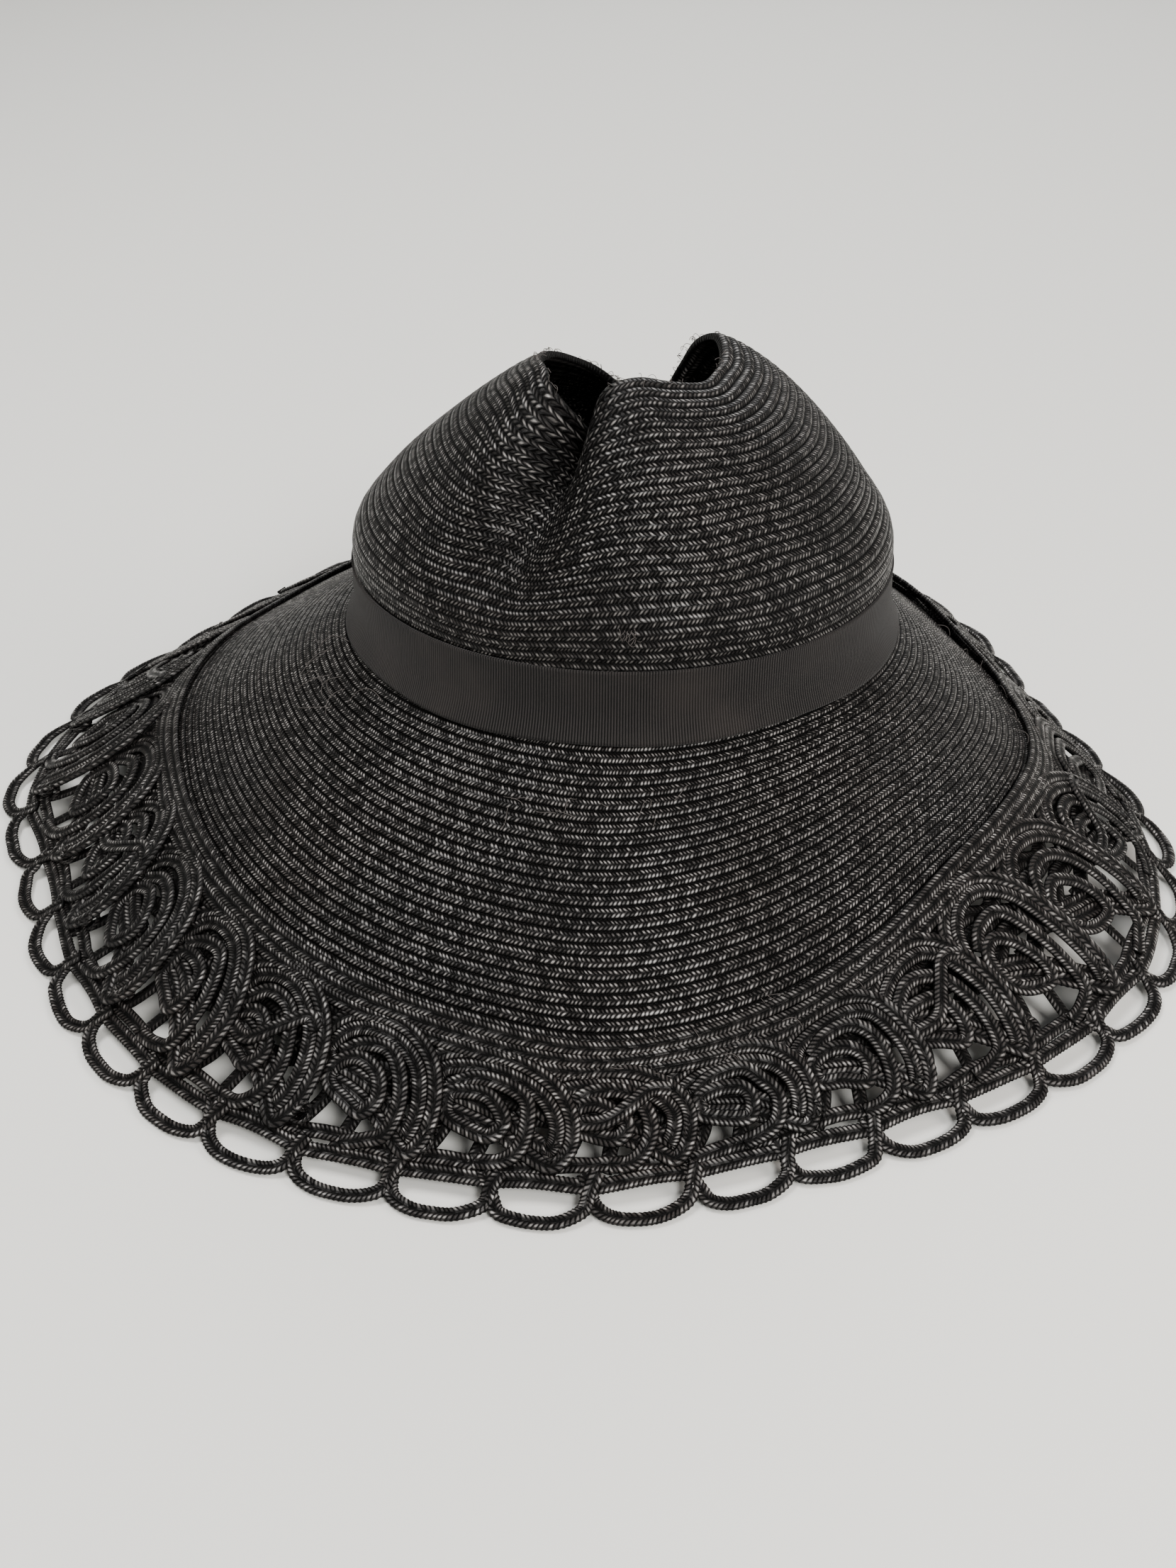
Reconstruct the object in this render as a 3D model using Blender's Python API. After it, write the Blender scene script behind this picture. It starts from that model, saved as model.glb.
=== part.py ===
"""Wide straw hat: folded open crown, grosgrain ribbon, sloping brim, looped braid border.

The hat rests on the flat undersides of its border scallops, which lie on z = 0.
Front of the hat is -Y, its own right hand is -X when it is worn.
"""
import math

import bmesh
import bpy
from mathutils import Vector
from mathutils.geometry import delaunay_2d_cdt

# Driving sizes, in metres.
brim_radius = 0.203
brim_drop = 0.076
crown_half_width = 0.0895
crown_half_depth = 0.077
crown_rise = 0.093
crown_shift_x = 0.0105
crown_shift_y = 0.008
crown_wall = 0.0020
straw_wall = 0.0020
border_wall = 0.0023
gap = 0.0004
ribbon_height = 0.021
ribbon_wall = 0.0010
ribbon_flare = 0.0028
band_width = 0.0095
band_wall = 0.0024
band_lift = 0.0030
strand_width = 0.0046
scallop_depth = 0.0110
ring_width = 0.0070
opening_depth = 0.0110

# Counts.
scallops = 42
loops = 30
turns = 84

# Border outline by azimuth: tip and straw edge as shares of brim_radius.
outline_columns = ("azimuth", "tip", "straw")
outline = (
    (-180, 1.055, 0.700),
    (-165, 1.000, 0.690),
    (-145, 1.005, 0.695),
    (-125, 1.015, 0.715),
    (-105, 0.995, 0.733),
    (-88, 0.985, 0.750),
    (-70, 0.966, 0.727),
    (-55, 0.990, 0.705),
    (-40, 1.030, 0.692),
    (-25, 1.050, 0.710),
    (-8, 1.015, 0.735),
    (6, 0.955, 0.715),
    (20, 0.925, 0.700),
    (36, 0.980, 0.700),
    (55, 1.030, 0.705),
    (75, 1.025, 0.710),
    (95, 1.015, 0.710),
    (115, 1.015, 0.705),
    (132, 0.988, 0.695),
    (147, 0.980, 0.690),
    (163, 1.030, 0.700),
)

# Upright section of the crown: height as a share of crown_rise, radius as a share of
# crown_half_width.
section_columns = ("height", "radius")
section = (
    (0.000, 1.010),
    (0.080, 0.992),
    (0.180, 1.000),
    (0.290, 0.992),
    (0.390, 0.960),
    (0.490, 0.895),
    (0.590, 0.815),
    (0.710, 0.700),
    (0.830, 0.565),
    (0.915, 0.450),
    (0.970, 0.360),
    (1.000, 0.290),
)

# Cut edge of the open crown, seen from above, around the crown's own axis.
rim_columns = ("azimuth", "radius", "height")
rim = (
    (-180, 0.290, 0.957),
    (-162, 0.310, 0.975),
    (-142, 0.346, 0.990),
    (-128, 0.398, 0.950),
    (-120, 0.350, 0.860),
    (-114, 0.290, 0.790),
    (-109, 0.305, 0.865),
    (-103, 0.352, 0.950),
    (-95, 0.370, 0.993),
    (-82, 0.350, 1.000),
    (-66, 0.353, 0.978),
    (-48, 0.374, 0.957),
    (-30, 0.350, 0.957),
    (-10, 0.340, 0.960),
    (6, 0.342, 0.980),
    (20, 0.346, 0.990),
    (35, 0.351, 0.960),
    (47, 0.362, 0.905),
    (57, 0.378, 0.810),
    (67, 0.388, 0.700),
    (78, 0.380, 0.660),
    (89, 0.346, 0.710),
    (101, 0.315, 0.780),
    (116, 0.285, 0.840),
    (136, 0.268, 0.892),
    (158, 0.272, 0.935),
)

# Dents pressed into the crown wall: where each starts at the rim and fades out lower down.
dent_columns = ("name", "rim_azimuth", "foot_azimuth", "half_angle", "depth", "foot_height")
dents = (
    ("front crease", -114.0, -124.0, 10.0, 0.150, 0.30),
    ("front dip", -58.0, -52.0, 15.0, 0.035, 0.25),
    ("back dent", 76.0, 80.0, 22.0, 0.070, 0.25),
    ("side dip", 160.0, 150.0, 24.0, 0.030, 0.20),
)

# One scallop of the outer edge: position along the pitch, share of scallop_depth inward.
scallop_columns = ("along", "inward")
scallop_edge = (
    (-0.500, 1.00),
    (-0.430, 0.46),
    (-0.230, 0.10),
    (0.000, 0.00),
    (0.230, 0.10),
    (0.430, 0.46),
)

# D-shaped opening inside one scallop, from the strand's inner side to the ring.
window_columns = ("along", "inward")
window = (
    (-0.345, 1.00),
    (-0.310, 0.45),
    (-0.170, 0.08),
    (0.000, 0.00),
    (0.170, 0.08),
    (0.310, 0.45),
    (0.345, 1.00),
)

# Three-cornered opening between two loops and the ring.
corner_columns = ("along", "inward")
corner = (
    (-0.300, 0.02),
    (0.330, 0.00),
    (0.290, 0.28),
    (0.100, 0.80),
    (-0.020, 1.00),
    (-0.150, 0.62),
)

# Teardrop opening in the middle of one loop.
teardrop_columns = ("along", "inward")
teardrop = (
    (-0.250, 0.05),
    (0.000, 0.00),
    (0.180, 0.20),
    (0.160, 0.60),
    (-0.020, 1.00),
    (-0.200, 0.75),
    (-0.310, 0.35),
)


def around(rows, column, azimuth):
    """Value of one table column at an azimuth, by a smooth curve closed over 360 degrees."""
    count = len(rows)
    x = (azimuth - rows[0][0]) % 360.0 + rows[0][0]
    place = count - 1
    for index in range(count - 1):
        if rows[index][0] <= x < rows[index + 1][0]:
            place = index
            break

    def at(index):
        wraps, inside = divmod(index, count)
        return rows[inside][0] + 360.0 * wraps, rows[inside][column]

    x0, y0 = at(place - 1)
    x1, y1 = at(place)
    x2, y2 = at(place + 1)
    x3, y3 = at(place + 2)
    slope1 = (y2 - y0) / (x2 - x0) * (x2 - x1)
    slope2 = (y3 - y1) / (x3 - x1) * (x2 - x1)
    t = (x - x1) / (x2 - x1)
    start = (2 * t ** 3 - 3 * t ** 2 + 1) * y1 + (t ** 3 - 2 * t ** 2 + t) * slope1
    end = (3 * t ** 2 - 2 * t ** 3) * y2 + (t ** 3 - t ** 2) * slope2
    return start + end


def smooth(value):
    """Smooth step from 0 to 1, flat beyond both ends."""
    t = min(max(value, 0.0), 1.0)
    return t * t * (3.0 - 2.0 * t)


def tip_radius(azimuth):
    """Plan radius of the scallop tips."""
    return brim_radius * around(outline, 1, azimuth)


def straw_radius(azimuth):
    """Plan radius at which the border band's inner edge crosses the straw."""
    return brim_radius * around(outline, 2, azimuth)


def crown_foot(azimuth):
    """Plan distance from the origin to the inner side of the crown's foot."""
    angle = math.radians(azimuth)
    across = crown_half_width * section[0][1] - crown_wall
    along = crown_half_depth * section[0][1] - crown_wall
    ux = math.cos(angle) / across
    uy = math.sin(angle) / along
    cx = -crown_shift_x / across
    cy = -crown_shift_y / along
    a = ux * ux + uy * uy
    b = ux * cx + uy * cy
    c = cx * cx + cy * cy - 1.0
    return (-b + math.sqrt(b * b - a * c)) / a


def brim_height(azimuth, radius):
    """Height of the brim's underside: a straight slope from the crown to the flat tips."""
    start = crown_foot(azimuth)
    end = tip_radius(azimuth) - flat_width()
    share = (radius - start) / (end - start)
    return brim_drop * min(max(1.0 - share, 0.0), 1.0)


def flat_width():
    """Width of the flat that each scallop rests on."""
    return strand_width * 1.35


def plan(azimuth, radius, height):
    """Point at an azimuth and plan radius around the origin."""
    angle = math.radians(azimuth)
    return Vector((radius * math.cos(angle), radius * math.sin(angle), height))


def crown_profile(share):
    """Height share and radius share of the crown's upright section at a share of its rows."""
    place = share * (len(section) - 1)
    index = min(int(place), len(section) - 2)
    t = place - index
    low = section[index]
    high = section[index + 1]
    return low[0] + (high[0] - low[0]) * t, low[1] + (high[1] - low[1]) * t


def crown_point(azimuth, share):
    """Outer surface of the crown, with its dents and its uneven cut edge."""
    height, radius = crown_profile(share)
    pull = smooth((height - 0.42) / 0.58)
    lift = smooth((height - 0.25) / 0.75) ** 1.4
    radius += (around(rim, 1, azimuth) - section[-1][1]) * pull
    rise = height + (around(rim, 2, azimuth) - 1.0) * lift
    for name, rim_azimuth, foot_azimuth, half_angle, depth, foot_height in dents:
        run = (height - foot_height) / (1.0 - foot_height)
        if run <= 0.0:
            continue
        middle = foot_azimuth + (rim_azimuth - foot_azimuth) * run
        off = (azimuth - middle + 180.0) % 360.0 - 180.0
        push = depth * math.exp(-(off / half_angle) ** 2)
        radius -= push * math.sin(math.pi * min(run, 1.0) ** 1.3)
    angle = math.radians(azimuth)
    x = crown_shift_x + crown_half_width * radius * math.cos(angle)
    y = crown_shift_y + crown_half_depth * radius * math.sin(angle)
    foot = brim_drop + straw_wall + gap
    return Vector((x, y, foot + crown_rise * rise))


def crown_inner(azimuth, share):
    """Inner surface of the crown, one wall in from the outer surface."""
    step = 0.01
    low = max(share - step, 0.0)
    high = min(share + step, 1.0)
    along = crown_point(azimuth + 0.5, share) - crown_point(azimuth - 0.5, share)
    up = crown_point(azimuth, high) - crown_point(azimuth, low)
    normal = along.cross(up).normalized()
    if share == 0.0:
        normal = Vector((normal.x, normal.y, 0.0)).normalized()
    return crown_point(azimuth, share) - normal * crown_wall


def new_object(name, points, faces):
    """Mesh object with outward faces, added to the scene."""
    mesh = bpy.data.meshes.new(name)
    mesh.from_pydata([tuple(point) for point in points], [], faces)
    mesh.update()
    work = bmesh.new()
    work.from_mesh(mesh)
    bmesh.ops.recalc_face_normals(work, faces=work.faces)
    bmesh.ops.triangulate(work, faces=work.faces)
    work.to_mesh(mesh)
    work.free()
    built = bpy.data.objects.new(name, mesh)
    bpy.context.scene.collection.objects.link(built)
    return built


def closed_section(name, rings):
    """Solid swept around the hat: each ring holds one cross-section's points in order."""
    around_count = len(rings)
    across = len(rings[0])
    points = [point for ring in rings for point in ring]
    faces = []
    for i in range(around_count):
        j = (i + 1) % around_count
        for k in range(across):
            m = (k + 1) % across
            faces.append((i * across + k, j * across + k, j * across + m, i * across + m))
    return new_object(name, points, faces)


def make_crown():
    """Hollow crown, open at the top and at the head opening."""
    rows = 9
    rings = []
    for i in range(turns):
        azimuth = 360.0 * i / turns - 180.0
        ring = [crown_point(azimuth, k / rows) for k in range(rows + 1)]
        ring += [crown_inner(azimuth, k / rows) for k in range(rows, -1, -1)]
        rings.append(ring)
    return closed_section("crown", rings)


def make_brim():
    """Sloping straw brim from under the crown to under the border band."""
    rings = []
    for i in range(turns):
        azimuth = 360.0 * i / turns
        inner = crown_foot(azimuth)
        outer = straw_radius(azimuth) + band_width * 0.5
        radii = [inner + (outer - inner) * share for share in (0.0, 0.33, 0.67, 1.0)]
        ring = [plan(azimuth, r, brim_height(azimuth, r) + straw_wall) for r in radii]
        ring += [plan(azimuth, r, brim_height(azimuth, r)) for r in reversed(radii)]
        rings.append(ring)
    return closed_section("brim", rings)


def ribbon_side(azimuth, share, offset):
    """Point of the ribbon: share of its height, offset outward from the crown."""
    height = share * ribbon_height / crown_rise
    place = height / section[2][0] * 2.0 / (len(section) - 1)
    wall = crown_point(azimuth, min(place, 1.0))
    angle = math.radians(azimuth)
    outward = Vector((math.cos(angle), math.sin(angle), 0.0))
    point = wall + outward * offset
    return point


def make_ribbon():
    """Ribbon loosely around the crown's foot, flaring a little toward the brim."""
    rings = []
    for i in range(turns):
        azimuth = 360.0 * i / turns
        outer = []
        inner = []
        for share in (0.0, 0.5, 1.0):
            flare = ribbon_flare * (1.0 - share) ** 1.5
            near = ribbon_side(azimuth, share, 2.5 * gap + flare)
            far = ribbon_side(azimuth, share, 2.5 * gap + flare + ribbon_wall)
            if share == 0.0:
                seat = max(ribbon_seat(near), ribbon_seat(far))
                near.z = seat
                far.z = seat
            inner.append(near)
            outer.append(far)
        rings.append(outer + inner[::-1])
    return closed_section("ribbon", rings)


def ribbon_seat(point):
    """Lowest height for the ribbon's edge above the brim at a point."""
    azimuth = math.degrees(math.atan2(point.y, point.x))
    radius = math.hypot(point.x, point.y)
    return brim_height(azimuth, radius) + straw_wall + 1.5 * gap


def band_rise(azimuth):
    """How far the band's inner edge stands off the straw, at the back of the right side."""
    off = (azimuth - 32.0 + 180.0) % 360.0 - 180.0
    return band_lift * math.exp(-(off / 24.0) ** 2)


def make_band():
    """Flat braid band covering the join of straw and border."""
    rings = []
    base = max(straw_wall, border_wall) + gap
    for i in range(turns):
        azimuth = 360.0 * i / turns
        start = straw_radius(azimuth)
        ring = []
        for share, up in ((0.0, 0.75), (0.15, 1.0), (0.85, 1.0), (1.0, 0.75)):
            radius = start + band_width * share
            lift = band_rise(azimuth) * (1.0 - share)
            height = brim_height(azimuth, radius) + base + band_wall * up + lift
            ring.append(plan(azimuth, radius, height))
        for share in (1.0, 0.0):
            radius = start + band_width * share
            lift = band_rise(azimuth) * (1.0 - share)
            ring.append(plan(azimuth, radius, brim_height(azimuth, radius) + base + lift))
        rings.append(ring)
    return closed_section("border_band", rings)


def repeated(rows, count, phase, depth_at):
    """Outline rows repeated around the border as plan points, one list per repeat."""
    outlines = []
    pitch = 360.0 / count
    for index in range(count):
        points = []
        for along, inward in rows:
            azimuth = (index + along + phase) * pitch
            radius = tip_radius(azimuth) - depth_at(azimuth, inward)
            points.append((azimuth, radius))
        outlines.append(points)
    return outlines


def border_inner(azimuth):
    """Plan radius of the border's inner edge, just outside the straw's edge."""
    return straw_radius(azimuth) + band_width * 0.5 + 1.5 * gap


def window_depth(azimuth, inward):
    """Inward distance of a scallop window's outline."""
    return strand_width + (scallop_depth - strand_width) * inward


def corner_depth(azimuth, inward):
    """Inward distance of a three-cornered opening's outline."""
    return scallop_depth + ring_width + opening_depth * inward


def teardrop_depth(azimuth, inward):
    """Inward distance of a teardrop opening's outline, kept clear of the band."""
    start = scallop_depth + ring_width + opening_depth
    end = tip_radius(azimuth) - border_inner(azimuth) - 0.5 * band_width
    return start + (end - start) * (0.28 + 0.44 * inward)


def make_border():
    """Pierced border of looped braid with a ring and an outer row of scallops."""
    outer = repeated(scallop_edge, scallops, 0.0, lambda a, s: scallop_depth * s)
    edge = [point for part in outer for point in part]
    count = 126
    inner = [(360.0 * i / count, border_inner(360.0 * i / count)) for i in range(count)]
    loops_out = [edge, inner]
    loops_out += repeated(window, scallops, 0.0, window_depth)
    loops_out += repeated(corner, loops, 0.25, corner_depth)
    loops_out += repeated(teardrop, loops, 0.70, teardrop_depth)
    plan_points = []
    sides = []
    owner = []
    for number, loop in enumerate(loops_out):
        first = len(plan_points)
        for azimuth, radius in loop:
            point = plan(azimuth, radius, 0.0)
            plan_points.append(Vector((point.x, point.y)))
            owner.append(number)
        last = len(plan_points) - 1
        sides += [(k, k + 1) for k in range(first, last)] + [(last, first)]
    verts, _, faces, _, _, _ = delaunay_2d_cdt(plan_points, sides, [], 1, 1e-9)
    kept = [face for face in faces if not in_opening(face, verts, owner)]
    return solid_from_plan("lace_border", verts, kept)


def in_opening(face, verts, owner):
    """Whether a plan triangle lies inside the opening whose outline holds its corners."""
    number = owner[face[0]]
    if number == 0 or any(owner[index] != number for index in face):
        return False
    outline_points = [verts[index] for index in range(len(verts)) if owner[index] == number]
    middle = sum((verts[index] for index in face), Vector((0.0, 0.0))) / len(face)
    inside = False
    for k, a in enumerate(outline_points):
        b = outline_points[k - 1]
        if (a.y > middle.y) != (b.y > middle.y):
            cross = (b.x - a.x) * (middle.y - a.y) / (b.y - a.y) + a.x
            if middle.x < cross:
                inside = not inside
    return inside


def solid_from_plan(name, verts, faces):
    """Closed wall whose underside follows the brim's slope and whose top is one wall above."""
    low = []
    for vert in verts:
        azimuth = math.degrees(math.atan2(vert.y, vert.x))
        low.append(Vector((vert.x, vert.y, brim_height(azimuth, vert.length))))
    high = [point + Vector((0.0, 0.0, border_wall)) for point in low]
    shift = len(low)
    whole = [tuple(reversed(face)) for face in faces]
    whole += [tuple(index + shift for index in face) for face in faces]
    owned = {}
    for face in faces:
        for k in range(len(face)):
            pair = (face[k], face[(k + 1) % len(face)])
            owned[pair] = True
    for a, b in owned:
        if (b, a) not in owned:
            whole.append((a, b, b + shift, a + shift))
    return new_object(name, low + high, whole)


def centre_on_origin(built):
    """Move every piece together so the whole hat stands centred on the origin."""
    corners = [vertex.co for piece in built for vertex in piece.data.vertices]
    low_x = min(point.x for point in corners)
    high_x = max(point.x for point in corners)
    low_y = min(point.y for point in corners)
    high_y = max(point.y for point in corners)
    low_z = min(point.z for point in corners)
    shift = Vector((-(low_x + high_x) / 2.0, -(low_y + high_y) / 2.0, -low_z))
    for piece in built:
        for vertex in piece.data.vertices:
            vertex.co = vertex.co + shift
    return shift


def give_material(piece, name, colour, roughness):
    """Own Principled material for one piece."""
    material = bpy.data.materials.new(name)
    material.use_nodes = True
    shader = material.node_tree.nodes["Principled BSDF"]
    shader.inputs["Base Color"].default_value = (*colour, 1.0)
    shader.inputs["Roughness"].default_value = roughness
    piece.data.materials.append(material)


def build():
    """Clear the file and build the hat."""
    for old in list(bpy.data.objects):
        bpy.data.objects.remove(old, do_unlink=True)
    crown = make_crown()
    brim = make_brim()
    ribbon = make_ribbon()
    band = make_band()
    border = make_border()
    centre_on_origin([crown, brim, ribbon, band, border])
    give_material(crown, "crown_straw", (0.020, 0.018, 0.018), 0.45)
    give_material(brim, "brim_straw", (0.020, 0.018, 0.018), 0.45)
    give_material(ribbon, "ribbon_cloth", (0.022, 0.020, 0.020), 0.85)
    give_material(band, "band_braid", (0.018, 0.016, 0.016), 0.50)
    give_material(border, "lace_braid", (0.018, 0.016, 0.016), 0.50)


build()
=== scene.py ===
"""Looks of the wide straw hat: sewn straw rows, ribbed ribbon, looped flat braid border."""
import math

import bpy
import numpy as np
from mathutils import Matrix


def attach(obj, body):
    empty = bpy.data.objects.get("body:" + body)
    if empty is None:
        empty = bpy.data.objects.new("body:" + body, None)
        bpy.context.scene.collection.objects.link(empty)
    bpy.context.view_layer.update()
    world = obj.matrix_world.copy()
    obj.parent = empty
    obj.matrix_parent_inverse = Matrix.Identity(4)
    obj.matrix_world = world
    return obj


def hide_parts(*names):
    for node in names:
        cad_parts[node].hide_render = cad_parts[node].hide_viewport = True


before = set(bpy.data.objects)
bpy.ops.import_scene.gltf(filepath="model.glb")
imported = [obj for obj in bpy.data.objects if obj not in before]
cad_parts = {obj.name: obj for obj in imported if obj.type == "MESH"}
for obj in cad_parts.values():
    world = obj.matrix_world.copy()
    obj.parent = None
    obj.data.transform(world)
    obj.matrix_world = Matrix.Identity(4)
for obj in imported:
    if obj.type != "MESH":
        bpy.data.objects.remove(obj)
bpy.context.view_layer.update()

# The hat's own centre lies this far from the frame's origin.
SHIFT = np.array([0.00503578, -0.00306622, 0.0])

# Sizes of the solids, in metres.
BRIM_RADIUS = 0.203
BRIM_DROP = 0.076
CROWN_HALF_WIDTH = 0.0895
CROWN_HALF_DEPTH = 0.077
CROWN_RISE = 0.093
CROWN_AXIS = (0.0105, 0.008)
CROWN_FOOT = 0.0784
CROWN_WALL = 0.0020
STRAW_WALL = 0.0020
RIBBON_HEIGHT = 0.021
BAND_WIDTH = 0.0095

# Flat that each scallop rests on, and how softly the brim's slope turns into it.
TIP_FLAT = 0.0062
TIP_EASE = 0.0012

# Scallops and lace motifs round the border.
SCALLOPS = 42
PETALS = 30

# Plan radius at which the lace's angles are turned into lengths.
LACE_RADIUS = 0.18

# Outer ends of the loops, in from the tips, and the pitch share at which each motif sits.
LOOP_END = 0.0185
MOTIF_PLACE = 0.75

# Length of one stitch of the sewn straw and of the flat braid.
STRAW_STITCH = 0.00130
BRAID_STITCH = 0.00136

# Columns: azimuth in degrees, tip radius, straw edge radius, both as shares of BRIM_RADIUS.
OUTLINE = np.array([
    (-180, 1.055, 0.700), (-165, 1.000, 0.690), (-145, 1.005, 0.695), (-125, 1.015, 0.715),
    (-105, 0.995, 0.733), (-88, 0.985, 0.750), (-70, 0.966, 0.727), (-55, 0.990, 0.705),
    (-40, 1.030, 0.692), (-25, 1.050, 0.710), (-8, 1.015, 0.735), (6, 0.955, 0.715),
    (20, 0.925, 0.700), (36, 0.980, 0.700), (55, 1.030, 0.705), (75, 1.025, 0.710),
    (95, 1.015, 0.710), (115, 1.015, 0.705), (132, 0.988, 0.695), (147, 0.980, 0.690),
    (163, 1.030, 0.700)])

# Columns: height as a share of CROWN_RISE, radius as a share of CROWN_HALF_WIDTH.
SECTION = np.array([
    (0.000, 1.010), (0.080, 0.992), (0.180, 1.000), (0.290, 0.992), (0.390, 0.960),
    (0.490, 0.895), (0.590, 0.815), (0.710, 0.700), (0.830, 0.565), (0.915, 0.450),
    (0.970, 0.360), (1.000, 0.290)])

# Columns: azimuth around the crown's axis, radius share, height share of the cut edge.
RIM = np.array([
    (-180, 0.290, 0.957), (-162, 0.310, 0.975), (-142, 0.346, 0.990), (-128, 0.398, 0.950),
    (-120, 0.350, 0.860), (-114, 0.290, 0.790), (-109, 0.305, 0.865), (-103, 0.352, 0.950),
    (-95, 0.370, 0.993), (-82, 0.350, 1.000), (-66, 0.353, 0.978), (-48, 0.374, 0.957),
    (-30, 0.350, 0.957), (-10, 0.340, 0.960), (6, 0.342, 0.980), (20, 0.346, 0.990),
    (35, 0.351, 0.960), (47, 0.362, 0.905), (57, 0.378, 0.810), (67, 0.388, 0.700),
    (78, 0.380, 0.660), (89, 0.346, 0.710), (101, 0.315, 0.780), (116, 0.285, 0.840),
    (136, 0.268, 0.892), (158, 0.272, 0.935)])

# Dents in the crown: the front crease, a dip beside it, the back dent and a side dip.
# Columns: azimuth at the rim, azimuth at the foot, half angle, depth share, foot height share.
DENTS = ((-114.0, -124.0, 10.0, 0.150, 0.30), (-58.0, -52.0, 15.0, 0.035, 0.25),
         (76.0, 80.0, 22.0, 0.070, 0.25), (160.0, 150.0, 24.0, 0.030, 0.20))

# Heights, as shares, from which the crown follows its cut edge inward and upward, and the
# power that delays the upward part.
PULL_FROM = 0.42
LIFT_FROM = 0.25
LIFT_POWER = 1.4

# Slight bulge of the crown above its ribbon: height share, half spread, radius share.
BULGE_HEIGHT = 0.34
BULGE_SPREAD = 0.09
BULGE = 0.016


# ---------------------------------------------------------------- forms of the hat

def ease(value):
    """Smooth step 3t^2 - 2t^3 of a value held between 0 and 1."""
    t = np.clip(value, 0.0, 1.0)
    return t * t * (3.0 - 2.0 * t)


def bell(azimuth, middle, spread):
    """Bell curve exp(-(off / spread)^2) of the angle off a middle azimuth."""
    off = np.mod(azimuth - middle + 180.0, 360.0) - 180.0
    return np.exp(-(off / spread) ** 2)


def around(rows, column, azimuth):
    """Cubic Hermite curve through one table column, closed over 360 degrees."""
    x = np.mod(azimuth - rows[0, 0], 360.0) + rows[0, 0]
    keys = np.concatenate([rows[-2:, 0] - 360.0, rows[:, 0], rows[:3, 0] + 360.0])
    vals = np.concatenate([rows[-2:, column], rows[:, column], rows[:3, column]])
    i = np.clip(np.searchsorted(keys, x, side="right") - 1, 1, len(keys) - 3)
    span = keys[i + 1] - keys[i]
    m0 = (vals[i + 1] - vals[i - 1]) / (keys[i + 1] - keys[i - 1]) * span
    m1 = (vals[i + 2] - vals[i]) / (keys[i + 2] - keys[i]) * span
    t = (x - keys[i]) / span
    return ((2 * t ** 3 - 3 * t ** 2 + 1) * vals[i] + (t ** 3 - 2 * t ** 2 + t) * m0
            + (3 * t ** 2 - 2 * t ** 3) * vals[i + 1] + (t ** 3 - t ** 2) * m1)


def tip_radius(azimuth):
    """Plan radius of the scallop tips."""
    return BRIM_RADIUS * around(OUTLINE, 1, azimuth)


def straw_radius(azimuth):
    """Plan radius of the border band's inner edge."""
    return BRIM_RADIUS * around(OUTLINE, 2, azimuth)


def crown_foot(azimuth):
    """Plan distance from the hat's centre to the crown's foot.

    The foot is an ellipse about the crown's axis, so the distance along a ray is the
    positive root of p d^2 + 2 q d + r = 0.
    """
    a = np.radians(azimuth)
    across = CROWN_HALF_WIDTH * SECTION[0, 1] - CROWN_WALL
    along = CROWN_HALF_DEPTH * SECTION[0, 1] - CROWN_WALL
    ux, uy = np.cos(a) / across, np.sin(a) / along
    cx, cy = -CROWN_AXIS[0] / across, -CROWN_AXIS[1] / along
    p, q, r = ux * ux + uy * uy, ux * cx + uy * cy, cx * cx + cy * cy - 1.0
    return (-q + np.sqrt(q * q - p * r)) / p


def brim_height(azimuth, radius):
    """Underside of the brim: a straight slope that eases into the flat tips."""
    start = crown_foot(azimuth)
    end = tip_radius(azimuth) - TIP_FLAT
    left = 1.0 - (radius - start) / (end - start)
    soft = 0.5 * (left + np.sqrt(left * left + TIP_EASE))
    return BRIM_DROP * soft


def plan(azimuth, radius, height):
    """Points at azimuth and plan radius around the hat's centre."""
    a = np.radians(azimuth)
    return np.stack([radius * np.cos(a), radius * np.sin(a), height + 0 * radius], -1)


def unit(v):
    """Vectors scaled to length 1."""
    return v / np.maximum(np.linalg.norm(v, axis=-1, keepdims=True), 1e-12)


def brim_point(azimuth, radius, up):
    """Point of the sloping brim moved up along the slope's own normal."""
    turn, out = 0.2, 3e-4
    base = plan(azimuth, radius, brim_height(azimuth, radius))
    da = plan(azimuth + turn, radius, brim_height(azimuth + turn, radius)) - base
    dr = plan(azimuth, radius + out, brim_height(azimuth, radius + out)) - base
    return base + unit(np.cross(dr, da)) * np.asarray(up)[..., None]


def spline(p0, p1, p2, p3, f):
    """Catmull-Rom curve at share f of the way from p1 to p2."""
    return 0.5 * (2 * p1 + (p2 - p0) * f + (2 * p0 - 5 * p1 + 4 * p2 - p3) * f ** 2
                  + (3 * p1 - p0 - 3 * p2 + p3) * f ** 3)


def section_curve(count=400):
    """Crown section through its table rows, resampled evenly by arc length."""
    t = np.linspace(0.0, len(SECTION) - 1.0, 3 * count)
    i = np.clip(t.astype(int), 0, len(SECTION) - 2)
    rows = np.vstack([2 * SECTION[0] - SECTION[1], SECTION, 2 * SECTION[-1] - SECTION[-2]])
    curve = spline(rows[i], rows[i + 1], rows[i + 2], rows[i + 3], (t - i)[:, None])
    size = curve * np.array([CROWN_RISE, CROWN_HALF_WIDTH])
    run = np.concatenate([[0.0], np.cumsum(np.linalg.norm(np.diff(size, axis=0), axis=1))])
    at = np.linspace(0.0, run[-1], count)
    return np.stack([np.interp(at, run, curve[:, k]) for k in range(2)], -1), run[-1]


# Height and radius shares up the crown, and the whole length of the section in metres.
CURVE, CURVE_LENGTH = section_curve()


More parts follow.
